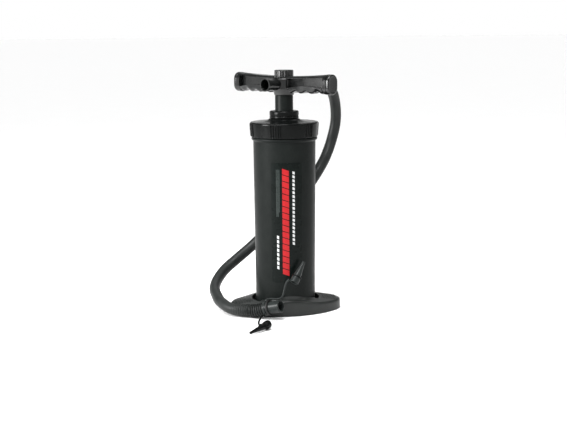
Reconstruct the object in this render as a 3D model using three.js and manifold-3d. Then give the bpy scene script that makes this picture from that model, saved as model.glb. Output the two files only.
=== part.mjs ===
// Double action hand pump: a piston pump that delivers air on both strokes.
// A hollow shaft joins the piston to a T handle with two air ports. Its inner tube delivers the air
// to the rear port and the hose, and the space between the two tubes draws air in by the front port.
// Millimetres, +Z up. The origin is on the floor, under the barrel's axis. X runs along the foot.
import * as THREE from 'three';
import { mergeVertices } from 'three/addons/utils/BufferGeometryUtils.js';
import Module from 'manifold-3d';

const wasm = await Module();
wasm.setup();

// ---------------------------------------------------------------- driving dimensions

const RUN = 0.1; // radial clearance of a running fit
const GAP = 0.3; // gap between pieces that only touch

const BORE = 43; // radius of the barrel's bore
const BARREL = { foot: 4.3, floor: 10, inside: 13.5, bead: 266, mouth: 286, low: 45.5, high: 47.5 };
const CAP = { low: 270, rim: 292, crown: 297, neck: 304, outer: 53.2, inner: 48.6 };
const COLLAR = { low: 297.4, high: 309, outer: 22.2 };
const LABEL = { low: 52, high: 234, middle: -96.5, span: 58, thick: 0.35 };

const SHAFT = { outer: 13.65, bore: 11.9, low: 34.3, high: 340.7 };
const INNER = { outer: 8, bore: 6.6, low: 26.3, high: 345 };
const PISTON = { low: 19.4, floor: 22, coverLow: 38.3, high: 41, outer: 41.6 };
const VALVE = { offset: 26.5, disc: 8.6, thick: 1.2, lift: 1.3, stem: 1.5, head: 2.3 };

const HANDLE = { yaw: -54, middle: 350.2, top: 365.2, low: 335.2, half: 99, width: 21, dip: 4.2 };
const HUB = { low: 332.5, outer: 17.5, cavity: 13.2, high: 358 };
const PORT = { mouth: 41, outer: 8.9, rim: 10, bore: 8.3, axis: 349 };
const KNOB = { low: 358.3, high: 370, outer: 14.5, ribs: 20 };

const FOOT = { half: 87, lensHalf: 93, depth: 51.5, rim: 16.5, edge: 5, inner: 46.1, floor: 4 };
const SCREW_CIRCLE = 30; // radius of the circle of foot screws, and of the piston's cover screws

const HOSE = { outer: 8.5, sides: 10 };
const CUFF = { outer: 8.9, sides: 12, rib: 10 };
const STRAP = { outer: 1.7, sides: 6 };

// The hose's route, from the cuff on the rear port, down behind the barrel and round to the front.
const HOSE_ROUTE = [
  [49.6, 36, 349], [57.3, 41.7, 348.9], [73.5, 56, 344.8], [90.5, 76, 332.5], [100, 93.5, 310.5],
  [102.5, 102.5, 282], [96, 102.5, 253], [84, 91, 228], [69, 74.5, 208.5], [51.5, 64.5, 186.5],
  [33.5, 64.5, 162.5], [16, 73, 139.5], [-1.5, 86.5, 119.5], [-18.5, 102, 99.5], [-37.5, 113, 79],
  [-60, 113.5, 60.5], [-82, 101.5, 45.5], [-97, 79.5, 33.5], [-104.5, 52, 26.5], [-105, 24, 22],
  [-101, -3, 16.5], [-87, -27, 11], [-62.5, -44, 11.5],
];
const HOSE_SPLIT = 0.52; // where the hose's upper part ends, as a share of its length

// The corrugated cuff's middle line, from the hose's end to the connector.
const CUFF_ROUTE = [
  [-61.9, -44.4, 11.5], [-58, -46.8, 11.7], [-52.4, -50.3, 12.7], [-46.4, -53.7, 14.3],
  [-38.5, -58.2, 17.1],
];
const CONNECTOR = { from: [-40, -57, 16.6], towards: [0.742, -0.623, 0.24], outer: 9.25, bore: 7.4 };

// The straps' routes, from the strap ring to each nozzle's cup, and the nozzles' own axes.
const UPPER_STRAP_ROUTE = [
  [-38.6, -52.8, 28.9], [-33.5, -53.9, 30.2], [-26.9, -56.3, 30.4], [-20, -59.5, 31],
  [-15, -59.5, 35], [-12.5, -58, 42], [-11, -58, 49], [-8.9, -59.7, 55.5], [-5.2, -61.9, 60.6],
];
const LOWER_STRAP_ROUTE = [
  [-45.2, -66, 9.2], [-51, -74, 6.2], [-55, -83, 3.6], [-56.8, -93, 2.8], [-56.8, -102, 3.6],
  [-55.8, -108.6, 5.4], [-54, -111.9, 6.6],
];
const WIDE_NOZZLE = { mouth: [1.1, -66, 55.9], towards: [18, 13, 29], length: 36 };
const NARROW_NOZZLE = { mouth: [-45.5, -113.9, 7], towards: [-32, -33.1, -2.9], length: 46 };

// ---------------------------------------------------------------- helpers

const turn = (degrees) => THREE.MathUtils.degToRad(degrees);

// A closed geometry as a manifold solid, and back.
function solidOf(geometry) {
  const bare = geometry.index ? geometry.toNonIndexed() : geometry.clone();
  bare.deleteAttribute('normal');
  bare.deleteAttribute('uv');
  const merged = mergeVertices(bare, 1e-4);
  return new wasm.Manifold(new wasm.Mesh({
    numProp: 3,
    vertProperties: Float32Array.from(merged.attributes.position.array),
    triVerts: Uint32Array.from(merged.index.array),
  }));
}

function geometryOf(solid) {
  const mesh = solid.getMesh();
  const geometry = new THREE.BufferGeometry();
  geometry.setAttribute('position', new THREE.BufferAttribute(mesh.vertProperties, 3));
  geometry.setIndex(new THREE.BufferAttribute(mesh.triVerts, 1));
  return geometry;
}

const joined = (...solids) => solids.reduce((whole, next) => whole.add(next));
const cut = (solid, ...tools) => tools.reduce((rest, tool) => rest.subtract(tool), solid);

// A profile of [radius, height] pairs turned about Z. It runs anticlockwise in the (r, z) plane.
function turned(profile, segments = 28) {
  const points = profile.map(([r, z]) => new THREE.Vector2(r, z));
  return new THREE.LatheGeometry(points, segments).rotateX(Math.PI / 2);
}

const turnedSolid = (profile, segments) => solidOf(turned(profile, segments));

function rod(radius, low, high, segments = 16) {
  return turnedSolid([[0, low], [radius, low], [radius, high], [0, high]], segments);
}

function ring(inner, outer, low, high, segments = 28) {
  return turned([[inner, low], [outer, low], [outer, high], [inner, high], [inner, low]], segments);
}

// A ring of round section, lying flat.
function seal(middle, section, height, segments = 48) {
  return new THREE.TorusGeometry(middle, section, 6, segments).translate(0, 0, height);
}

// A rod lying along Y, from one y to another, at a height.
function rodAlongY(radius, from, to, height, segments = 16) {
  const geometry = turned([[0, from], [radius, from], [radius, to], [0, to]], segments);
  return solidOf(geometry.rotateX(-Math.PI / 2).translate(0, 0, height));
}

function box(x, y, z) {
  const geometry = new THREE.BoxGeometry(x[1] - x[0], y[1] - y[0], z[1] - z[0]);
  return solidOf(geometry.translate((x[0] + x[1]) / 2, (y[0] + y[1]) / 2, (z[0] + z[1]) / 2));
}

function at(solid, x, y, z = 0) {
  return solid.translate([x, y, z]);
}

// A closed tube of round section along the points, bent smoothly.
function tubeAlong(points, { outer, sides }, steps) {
  const path = new THREE.CatmullRomCurve3(points);
  const section = new THREE.Shape();
  for (let i = 0; i < sides; i += 1) {
    const angle = (i + 0.5) / sides * 2 * Math.PI;
    section[i ? 'lineTo' : 'moveTo'](outer * Math.cos(angle), outer * Math.sin(angle));
  }
  return new THREE.ExtrudeGeometry(section, { steps, bevelEnabled: false, extrudePath: path });
}

const vectors = (route) => route.map((point) => new THREE.Vector3(...point));

// A prism of a shape drawn in the (x, z) plane, centred on y = 0.
function plate(shape, width, bevel = 0) {
  const depth = width - 2 * bevel;
  const options = {
    depth, steps: 1, bevelEnabled: bevel > 0, bevelThickness: bevel, bevelSize: bevel,
    bevelOffset: -bevel, bevelSegments: 1, curveSegments: 8,
  };
  return new THREE.ExtrudeGeometry(shape, options).translate(0, 0, -depth / 2).rotateX(Math.PI / 2);
}

// A shape through [x, y] points.
function outline(points) {
  return new THREE.Shape(points.map(([x, y]) => new THREE.Vector2(x, y)));
}

// A wedge of the space around Z, between two angles in degrees.
function wedge(from, to, radius, low, high) {
  const points = [[0, 0]];
  for (let i = 0; i <= 8; i += 1) {
    const angle = turn(from + (to - from) * i / 8);
    points.push([radius * Math.cos(angle), radius * Math.sin(angle)]);
  }
  const options = { depth: high - low, bevelEnabled: false };
  return solidOf(new THREE.ExtrudeGeometry(outline(points), options).translate(0, 0, low));
}

// A closed body whose profile changes as it goes round Z. profileAt(angle) lists [radius, height]
// pairs that start and end on the axis, always the same number of them.
function lofted(profileAt, segments) {
  const rows = Array.from({ length: segments }, (_, i) => {
    const angle = i / segments * 2 * Math.PI;
    return profileAt(angle).map(([r, z]) => [r * Math.cos(angle), r * Math.sin(angle), z]);
  });
  const corners = [];
  rows.forEach((row, i) => {
    const next = rows[(i + 1) % segments];
    for (let j = 0; j + 1 < row.length; j += 1) {
      corners.push(row[j], next[j], next[j + 1], row[j], next[j + 1], row[j + 1]);
    }
  });
  const geometry = new THREE.BufferGeometry();
  geometry.setAttribute('position', new THREE.Float32BufferAttribute(corners.flat(), 3));
  return geometry;
}

// ---------------------------------------------------------------- materials and the scene graph

const LOOKS = {
  satin: { color: 0x333636, roughness: 0.6, metalness: 0 },
  gloss: { color: 0x1d1f1f, roughness: 0.32, metalness: 0 },
  grey: { color: 0x4d5152, roughness: 0.3, metalness: 0 },
  rubber: { color: 0x161616, roughness: 0.85, metalness: 0 },
  label: { color: 0x101312, roughness: 0.4, metalness: 0 },
  white: { color: 0xd8d8d4, roughness: 0.5, metalness: 0 },
  steel: { color: 0xa8aaac, roughness: 0.35, metalness: 1 },
};

const pump = new THREE.Group();

const plunger = new THREE.Group(); // X runs along the handle, and the rear port points along +Y
plunger.rotation.z = turn(HANDLE.yaw);
pump.add(plunger);

function part(name, shape, look, parent = pump) {
  const geometry = shape.isBufferGeometry ? shape : geometryOf(shape);
  const mesh = new THREE.Mesh(geometry, new THREE.MeshStandardMaterial(LOOKS[look]));
  mesh.name = name;
  parent.add(mesh);
  return mesh;
}

// A group whose Z axis points from a place in a direction, and whose X axis is level.
function along(place, towards) {
  const z = new THREE.Vector3(...towards).normalize();
  const x = new THREE.Vector3(0, 0, 1).cross(z).normalize();
  const basis = new THREE.Matrix4().makeBasis(x, z.clone().cross(x), z).setPosition(...place);
  const group = new THREE.Group();
  group.applyMatrix4(basis);
  pump.add(group);
  return group;
}

// ---------------------------------------------------------------- barrel and foot

const screwAngles = [45, 135, 225, 315];
const onCircle = (radius, degrees) => [radius * Math.cos(turn(degrees)), radius * Math.sin(turn(degrees))];

function barrel() {
  const { foot, floor, inside, bead, mouth, low, high } = BARREL;
  const neck = high - 0.3;
  const threads = [7, 12].flatMap((up) => [
    [neck, bead + up], [neck + 0.9, bead + up + 1.3], [neck, bead + up + 2.6],
  ]);
  const shell = turnedSolid([
    [0, floor], [BORE + 0.2, floor], [BORE + 0.2, foot], [low - 0.2, foot], [low, foot + 1.5],
    [high - 0.1, bead - 2], [high + 2.5, bead], [high + 2.5, bead + 2.6], [neck, bead + 3.2], ...threads,
    [neck, mouth - 0.8], [neck - 0.8, mouth], [BORE, mouth], [BORE, inside], [0, inside],
  ], 40);
  const bosses = screwAngles.map((a) => at(rod(4, foot, floor + 0.5, 10), ...onCircle(SCREW_CIRCLE, a)));
  const holes = screwAngles.map((a) => at(rod(1.8, 0, floor + 1.6, 8), ...onCircle(SCREW_CIRCLE, a)));
  return cut(joined(shell, ...bosses), ...holes);
}

// The foot's edge: a lens of two arcs, whose tips are rounded off.
function footRadius(angle, inset = 0) {
  const radius = (FOOT.lensHalf ** 2 + FOOT.depth ** 2) / (2 * FOOT.depth);
  const centre = radius - FOOT.depth;
  const reach = Math.sqrt(radius ** 2 - (centre * Math.cos(angle)) ** 2);
  const lens = reach - centre * Math.abs(Math.sin(angle));
  const sharpness = 24;
  return (lens ** -sharpness + FOOT.half ** -sharpness) ** (-1 / sharpness) - inset;
}

function footProfile(angle) {
  const { inner, rim, edge, floor } = FOOT;
  const r = footRadius(angle);
  const front = Math.abs(Math.sin(angle)) ** 3;
  const lip = 21 + 10 * front;
  const bend = 1 + 0.9 * front;
  const shoulder = [0, 0.2, 0.45, 0.72, 1].map((t) => [
    inner + 0.5 + t * (r - edge - inner - 0.5), rim + (lip - rim) * (1 - t) ** bend,
  ]);
  return [
    [0, 0], [r - 0.8, 0], [r, 0.8], [r, rim - edge], [r - edge * 0.3, rim - edge * 0.3],
    ...shoulder.reverse(),
    [inner, lip], [inner, floor], [0, floor],
  ];
}

function foot() {
  const { inner, floor } = FOOT;
  const moats = [0, 180].map((middle) => {
    const sector = wedge(middle - 27, middle + 27, 60, 12, 40);
    return sector.intersect(solidOf(ring(inner - 1, inner + 4.5, 12, 40, 40)));
  });
  // Hollows under the wings, either side of a middle rib.
  const under = lofted((angle) => {
    const r = footRadius(angle, 4);
    return [[0, -1], [r, -1], [r - 0.5, 8], [0, 8]];
  }, 32);
  const wings = [1, -1].flatMap((x) => [1, -1].map((y) => box(
    [Math.min(x * 49, x * 90), Math.max(x * 49, x * 90)],
    [Math.min(y * 1.4, y * 60), Math.max(y * 1.4, y * 60)], [-2, 9],
  )));
  const hollows = wings.map((wing) => wing.intersect(solidOf(under)));
  const screwHoles = screwAngles.map((a) => at(rod(1.9, -1, floor + 1, 8), ...onCircle(SCREW_CIRCLE, a)));
  const heads = screwAngles.map((a) => at(rod(3.9, -1, 2, 12), ...onCircle(SCREW_CIRCLE, a)));
  return cut(solidOf(lofted(footProfile, 56)), ...moats, ...hollows, ...screwHoles, ...heads);
}

// A pan head screw standing on its head.
function screw(head, shank, low, neck, high) {
  return turned([
    [0, low], [head * 0.8, low], [head, neck], [shank, neck], [shank, high - 1], [0, high],
  ], 8);
}

function label() {
  const { low, high, middle, span, thick } = LABEL;
  const radiusAt = (z) => BARREL.low + (z - BARREL.foot) / (BARREL.bead - BARREL.foot) * 2 + 0.15;
  const sleeve = turnedSolid([
    [radiusAt(low), low], [radiusAt(low) + thick, low], [radiusAt(high) + thick, high],
    [radiusAt(high), high], [radiusAt(low), low],
  ], 60);
  return sleeve.intersect(wedge(middle - span / 2, middle + span / 2, 80, low - 1, high + 1));
}

part('barrel', barrel(), 'satin');
part('foot', foot(), 'satin');
screwAngles.forEach((a, i) => {
  const mesh = part(`foot_screw_${i + 1}`, screw(3.4, 1.55, 0.5, 1.85, 11.2), 'steel');
  mesh.position.set(...onCircle(SCREW_CIRCLE, a), 0);
});
part('label_panel', label(), 'label');
part('lower_buffer', ring(36, 40, BARREL.inside + 0.2, PISTON.low - GAP, 24), 'rubber');

// ---------------------------------------------------------------- cap and shaft seals

function cap() {
  const { low, rim, crown, neck, outer, inner } = CAP;
  const panel = outer - 0.9;
  const shell = turnedSolid([
    [16.9, 286], [21.5, 286], [23.5, 289.1], [46.3, 289.1], [inner, 287.5], [inner, low],
    [panel - 1.5, low], [panel, rim - 1.4], [panel - 1.4, rim], [32, 293.4], [25.5, 294.6],
    [COLLAR.outer + 0.3, crown],
    [19.3, crown], [19.3, neck], [16.9, neck], [16.9, 286],
  ], 36);
  const groups = 6;
  const ribsPerGroup = 5;
  const ribs = [];
  for (let g = 0; g < groups; g += 1) {
    for (let i = 0; i < ribsPerGroup; i += 1) {
      const angle = 5 + g * 360 / groups + (i - (ribsPerGroup - 1) / 2) * 4.1;
      const slope = Math.atan2(1.5, rim - low);
      const rib = new THREE.BoxGeometry(1.6, 1.9, rim - low - 1.6);
      rib.rotateY(slope).translate(panel - 0.7, 0, (rim + low) / 2).rotateZ(turn(angle));
      ribs.push(solidOf(rib));
    }
  }
  return joined(shell, ...ribs);
}

part('cap', cap(), 'gloss');
part('cap_seal', seal(45.2, 1.2, 287.6, 28), 'rubber');
part('upper_buffer', ring(36, 40, 281.3, 288.8, 24), 'rubber');
part('shaft_bush', turned([
  [SHAFT.outer + RUN, 284], [20, 284], [20, 285.7], [16.6, 285.7], [16.6, 300], [SHAFT.outer + RUN, 300],
  [SHAFT.outer + RUN, 284],
], 32), 'white');
part('shaft_seal', turned([
  [SHAFT.outer + RUN, 300.3], [16.6, 300.3], [16.6, 303.7], [15.4, 302], [SHAFT.outer + RUN, 303.7],
  [SHAFT.outer + RUN, 300.3],
], 32), 'rubber');
part('shaft_wiper', ring(SHAFT.outer + RUN, 19, CAP.neck + 0.5, 306, 32), 'rubber');
part('collar', turned([
  [19.7, COLLAR.low], [21.6, COLLAR.low], [COLLAR.outer, COLLAR.low + 0.6], [COLLAR.outer, 307.6],
  [20.9, COLLAR.high], [14.3, COLLAR.high], [14.3, 306.4], [19.7, 306.4], [19.7, COLLAR.low],
]), 'gloss');

// ---------------------------------------------------------------- shaft, piston and valves

part('shaft_tube', ring(SHAFT.bore, SHAFT.outer, SHAFT.low, SHAFT.high, 32), 'gloss', plunger);
part('delivery_tube', ring(INNER.bore, INNER.outer, INNER.low, INNER.high, 20), 'white', plunger);

const valveCentres = [[-VALVE.offset, 0], [VALVE.offset, 0]]; // intake and delivery
const coverScrews = [60, 120, 240, 300];

// The holes through a valve's seat: one for its stem and four for the air.
function seatHoles(x, y, low, high) {
  const air = [0, 90, 180, 270].map((a) => onCircle(5.3, a));
  return [
    at(rod(1.9, low, high, 8), x, y),
    ...air.map(([dx, dy]) => at(rod(2.3, low, high, 8), x + dx, y + dy)),
  ];
}

function pistonBody() {
  const { low, floor, coverLow, outer } = PISTON;
  const top = coverLow - GAP;
  const cup = turnedSolid([
    [0, low], [outer - 1, low], [outer, low + 1], [outer, 28], [38.6, 28], [38.6, 34], [outer, 34],
    [outer, top], [36, top], [36, floor], [0, floor],
  ]);
  const boss = rod(17, floor - 0.5, top);
  const walls = [[16, 36.5], [-36.5, -16]].map((y) => box([-1, 1], y, [floor - 0.5, top]));
  const post = rod(3.4, floor - 0.5, top, 8);
  const screwBosses = coverScrews.map((a) => at(post, ...onCircle(SCREW_CIRCLE, a)));
  const body = joined(cup, boss, ...walls, ...screwBosses);
  const sockets = [
    rod(SHAFT.outer + 0.5, 34, top + 1, 28), // shaft tube
    rod(SHAFT.bore, 30, 34.5), // intake gallery, open towards the intake side
    box([-20, 0], [-5, 5], [30, 33.9]),
    rod(INNER.outer + GAP, 26, 30.5), // delivery tube
    rod(6.4, floor, 26.5), // delivery gallery, open towards the delivery side
    box([0, 20], [-5, 5], [floor, 25.9]),
  ];
  const screwHoles = coverScrews.map((a) => at(rod(1.4, 27, top + 1, 6), ...onCircle(SCREW_CIRCLE, a)));
  const seats = valveCentres.flatMap(([x, y]) => seatHoles(x, y, low - 1, floor + 0.2));
  return cut(body, ...sockets, ...screwHoles, ...seats);
}

function pistonCover() {
  const { coverLow, high, outer } = PISTON;
  const disc = solidOf(ring(SHAFT.outer + 0.5, outer, coverLow, high));
  const screwHole = rod(1.6, coverLow - 1, high + 1, 6);
  const screwHoles = coverScrews.map((a) => at(screwHole, ...onCircle(SCREW_CIRCLE, a)));
  const seats = valveCentres.flatMap(([x, y]) => seatHoles(x, y, coverLow - 1, high + 1));
  return cut(disc, ...screwHoles, ...seats);
}

// A rubber disc valve on the upper (side 1) or lower (side -1) face of a plate, with a stem and a
// head on the other side that stops its lift.
function valve(low, high, side) {
  const { disc, thick, lift, stem, head } = VALVE;
  const seat = high + 0.15;
  const stop = low - lift - 0.15;
  const profile = [
    [0, stop - 2], [1.4, stop - 2], [head, stop - 1], [head, stop], [stem, stop], [stem, seat],
    [disc, seat], [disc - 0.5, seat + thick], [0, seat + thick],
  ];
  const placed = side > 0 ? profile : profile.map(([r, z]) => [r, low + high - z]).reverse();
  return turned(placed, 14);
}

part('piston_body', pistonBody(), 'white', plunger);
part('piston_cover', pistonCover(), 'white', plunger);
part('piston_ring', turned([
  [38.9, 28.3], [41.9, 28.3], [BORE - 0.2, 29.6], [BORE - 0.2, 32.4], [41.9, 33.7], [38.9, 33.7],
  [38.9, 28.3],
], 40), 'rubber', plunger);
coverScrews.forEach((a, i) => {
  const { high } = PISTON;
  const shape = turned([[0, 28], [1.15, 29], [1.15, high + 0.15], [2.9, high + 0.15],
    [2.3, high + 1.8], [0, high + 1.8]], 8);
  const mesh = part(`piston_screw_${i + 1}`, shape, 'steel', plunger);
  mesh.position.set(...onCircle(SCREW_CIRCLE, a), 0);
});

const valves = [
  ['intake_valve_upper', 0, PISTON.coverLow, PISTON.high, 1],
  ['intake_valve_lower', 0, PISTON.low, PISTON.floor, -1],
  ['delivery_valve_upper', 1, PISTON.coverLow, PISTON.high, -1],
  ['delivery_valve_lower', 1, PISTON.low, PISTON.floor, 1],
];
for (const [name, centre, low, high, side] of valves) {
  part(name, valve(low, high, side), 'rubber', plunger).position.set(...valveCentres[centre], 0);
}

// ---------------------------------------------------------------- handle, ports and knob

const ARM_END = HANDLE.half - 6.2; // where the arms stop and the end caps begin

// The height of an arm's under edge, with a ridge between each two fingers.
function gripLine(x) {
  const s = Math.abs(x);
  const [first, pitch] = [42, 20];
  if (s < 22) return 341;
  if (s > 86) return HANDLE.low;
  return HANDLE.low + 2.4 - 1.5 * Math.cos((s - first) / pitch * 2 * Math.PI);
}

// The height of an arm's top edge, which dips towards the hub.
const topLine = (x) => HANDLE.top - HANDLE.dip * (1 - (x / ARM_END) ** 2);

function armOutline() {
  const under = [];
  const over = [];
  for (let x = -ARM_END; x <= ARM_END + 0.01; x += ARM_END / 18) under.push([x, gripLine(x)]);
  for (let i = 6; i >= -6; i -= 1) over.push([i / 6 * ARM_END, topLine(i / 6 * ARM_END)]);
  return outline([...under, ...over]);
}

// The recess in one side of an arm, between its flanges.
function recessOutline(side) {
  const [near, far] = [15, 87];
  const points = [];
  for (let i = 0; i <= 8; i += 1) {
    const x = near + (far - near) * i / 8;
    const arch = 1 - ((i - 4) / 4) ** 2;
    points.push([side * x, 343 + 4 * arch]);
  }
  for (let i = 4; i >= 0; i -= 1) {
    const x = near + (far - near) * i / 4;
    points.push([side * x, topLine(x) - 3.6]);
  }
  return outline(side > 0 ? points : points.reverse());
}

function handle() {
  const { low, outer, cavity, high } = HUB;
  const arms = solidOf(plate(armOutline(), HANDLE.width, 2.2));
  const hub = turnedSolid([
    [0, low], [14.9, low], [15.1, low + 2], [16, low + 5], [outer, low + 8.5], [outer, high - 1.2],
    [outer - 1.2, high], [0, high],
  ]);
  const ports = [-1, 1].flatMap((side) => [
    rodAlongY(PORT.outer, ...[side * 10, side * PORT.mouth].sort((a, b) => a - b), PORT.axis),
    rodAlongY(PORT.rim, ...[side * (PORT.mouth - 4), side * PORT.mouth].sort((a, b) => a - b), PORT.axis),
  ]);
  const recesses = [-1, 1].flatMap((face) => [-1, 1].map((side) => {
    const deep = solidOf(plate(recessOutline(side), 12));
    return at(deep, 0, face * 9);
  }));
  const bores = [
    rod(SHAFT.outer + 0.5, low - 1, 341, 28),
    rod(cavity, 341 - 0.01, 355.6),
    rod(9, 355, high + 1),
    rod(KNOB.outer + 1, high, HANDLE.top, 24),
    rodAlongY(6.5, -20, 20, PORT.axis),
    rodAlongY(PORT.bore, 18, PORT.mouth + 1, PORT.axis),
    rodAlongY(PORT.bore, -PORT.mouth - 1, -18, PORT.axis),
  ];
  const pegHoles = [-1, 1].map((side) => alongX(4.3, side * 89, side * (ARM_END + 1)));
  return cut(joined(cut(arms, ...recesses), hub, ...ports), ...bores, ...pegHoles);
}

// A rod along X at the handle's middle height.
function alongX(radius, from, to) {
  const [low, high] = [Math.min(from, to), Math.max(from, to)];
  const geometry = turned([[0, low], [radius, low], [radius, high], [0, high]], 16).rotateY(Math.PI / 2);
  return solidOf(geometry.translate(0, 0, HANDLE.middle));
}

// An oval cap on the end of an arm, with a peg that holds it.
function endCap(side) {
  const half = HANDLE.width / 2 + 0.25;
  const rise = (HANDLE.top - HANDLE.low) / 2;
  const bevel = 1.3;
  const oval = new THREE.Shape();
  oval.absarc(0, rise - half, half, 0, Math.PI);
  oval.absarc(0, half - rise, half, Math.PI, 2 * Math.PI);
  const thick = HANDLE.half - ARM_END - GAP;
  const options = {
    depth: thick - 2 * bevel, bevelEnabled: true, bevelThickness: bevel, bevelSize: bevel,
    bevelOffset: -bevel, bevelSegments: 1, curveSegments: 7,
  };
  const turnedUp = new THREE.Matrix4().makeBasis(
    new THREE.Vector3(0, 1, 0), new THREE.Vector3(0, 0, 1), new THREE.Vector3(1, 0, 0),
  );
  const face = new THREE.ExtrudeGeometry(oval, options).applyMatrix4(turnedUp);
  face.translate(ARM_END + GAP + bevel, 0, HANDLE.middle);
  if (side < 0) face.rotateZ(Math.PI);
  return joined(solidOf(face), alongX(4, side * 89.5, side * (ARM_END + 2)));
}

function knob() {
  const { low, high, outer, ribs } = KNOB;
  const body = turnedSolid([
    [0, low - 2.2], [8.7, low - 2.2], [8.7, low], [outer, low], [outer, high - 1], [outer - 1, high],
    [0, high],
  ], 20);
  const grooves = Array.from({ length: ribs }, (_, i) => at(
    rod(0.95, low - 1, high + 1, 6), ...onCircle(outer + 0.3, i * 360 / ribs),
  ));
  return cut(body, ...grooves);
}

// The elbow that takes the delivery tube's air into the rear port.
function deliveryElbow() {
  const outside = joined(rod(10.2, 342.5, 355.3), rodAlongY(6.2, 0, 20.2, PORT.axis));
  return cut(outside, rod(INNER.outer + GAP, 342, INNER.high + GAP), rod(4.9, 345, PORT.axis),
    rodAlongY(4.9, -1, 21, PORT.axis));
}

// The cuff that carries the hose on the rear port: a spigot, a flange and a sleeve.
function hoseCuff() {
  const geometry = turned([
    [5, 21], [7.6, 21], [8, 22], [8, PORT.mouth + GAP], [10.4, PORT.mouth + GAP], [10.4, 44], [9.9, 44.6],
    [9.2, 60], [5, 60], [5, 21],
  ], 20);
  return geometry.rotateX(-Math.PI / 2).translate(0, 0, PORT.axis);
}

part('handle', handle(), 'gloss', plunger);
part('handle_end_right', endCap(1), 'gloss', plunger);
part('handle_end_left', endCap(-1), 'gloss', plunger);
part('knob', knob(), 'gloss', plunger);
part('delivery_elbow', deliveryElbow(), 'white', plunger);
const elbowSeal = seal(7.25, 0.7, 0, 16).rotateX(Math.PI / 2).translate(0, 19.3, PORT.axis);
part('elbow_seal', elbowSeal, 'rubber', plunger);
part('hose_cuff', hoseCuff(), 'satin', plunger);

// ---------------------------------------------------------------- hose, connector and nozzles

const hoseLine = new THREE.CatmullRomCurve3(vectors(HOSE_ROUTE));

// The hose between two shares of its length.
function hose(from, to, steps) {
  const shares = Array.from({ length: steps + 1 }, (_, i) => from + (to - from) * i / steps);
  const points = shares.map((share) => hoseLine.getPointAt(share));
  return tubeAlong(points, HOSE, steps);
}

// The corrugated end of the hose, bent along its route.
function corrugatedCuff() {
  const line = new THREE.CatmullRomCurve3(vectors(CUFF_ROUTE));
  const core = solidOf(tubeAlong(line.getSpacedPoints(5), CUFF, 5));
  const ribs = Array.from({ length: 5 }, (_, i) => {
    const share = 0.08 + i * 0.17;
    const rib = new THREE.CylinderGeometry(CUFF.rib, CUFF.rib, 2.1, 12).rotateX(Math.PI / 2);
    const upright = new THREE.Vector3(0, 0, 1);
    const facing = new THREE.Quaternion().setFromUnitVectors(upright, line.getTangentAt(share));
    return solidOf(rib.applyQuaternion(facing).translate(...line.getPointAt(share).toArray()));
  });
  return joined(core, ...ribs);
}

part('hose_upper', hose(0, HOSE_SPLIT, 20), 'satin');
part('hose_lower', hose(HOSE_SPLIT + 2 * GAP / hoseLine.getLength(), 1, 22), 'satin');

const connector = along(CONNECTOR.from, CONNECTOR.towards);
const spigotRoom = turned([[0, -9], [6.6, -9], [6.6, 0], [15, 0], [15, 12], [0, 12]], 16);
part('corrugated_cuff', cut(corrugatedCuff(), solidOf(spigotRoom.applyMatrix4(connector.matrix))), 'satin');

part('strap_ring', ring(6.6, 11.3, 0.4, 3.4, 20), 'grey', connector);
part('connector_ring', ring(9.6, 11.8, 5.6, 8.4, 20), 'rubber', connector);
part('connector', turned([
  [5, -8.5], [6.3, -8.5], [6.3, 3.7], [10.6, 3.7], [10.6, 5.3], [CONNECTOR.outer, 5.3],
  [CONNECTOR.outer, 26.4],
  [CONNECTOR.outer - 0.6, 27], [CONNECTOR.bore, 27], [CONNECTOR.bore, 8], [5, 5], [5, -8.5],
], 20), 'grey', connector);

// A nozzle: a cup that fits the connector's mouth, and a cone with a small hole.
function nozzle({ length }, { cup, neck, tip, hole, lug }) {
  const body = turnedSolid([
    [0, 0], [cup - 0.4, 0], [cup, 0.4], [cup, 9], [neck, 11.5], [neck, 12.5], [tip, length - 3],
    [tip, length], [0, length],
  ], 16);
  const collar = solidOf(ring(neck - 1, cup + 1, 9.2, 10.8, 16));
  const grip = lug ? box([-lug, lug], [-1.4, 1.4], [9.4, 12.6]) : collar;
  return cut(joined(body, grip), rod(cup - 1.6, -1, 8), rod(hole, 7, length + 1, 8));
}

part('wide_nozzle', nozzle(WIDE_NOZZLE, { cup: 6.8, neck: 5.8, tip: 2.6, hole: 1.7 }), 'grey',
  along(WIDE_NOZZLE.mouth, WIDE_NOZZLE.towards));
const narrowShape = { cup: 6.2, neck: 4.8, tip: 2.2, hole: 1.3, lug: 9.5 };
part('narrow_nozzle', nozzle(NARROW_NOZZLE, narrowShape), 'gloss',
  along(NARROW_NOZZLE.mouth, NARROW_NOZZLE.towards));
part('wide_nozzle_strap', tubeAlong(vectors(UPPER_STRAP_ROUTE), STRAP, 18), 'grey');
part('narrow_nozzle_strap', tubeAlong(vectors(LOWER_STRAP_ROUTE), STRAP, 16), 'gloss');

export default pump;
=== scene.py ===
import math

import bmesh
import bpy
from mathutils import Matrix, Vector


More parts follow.
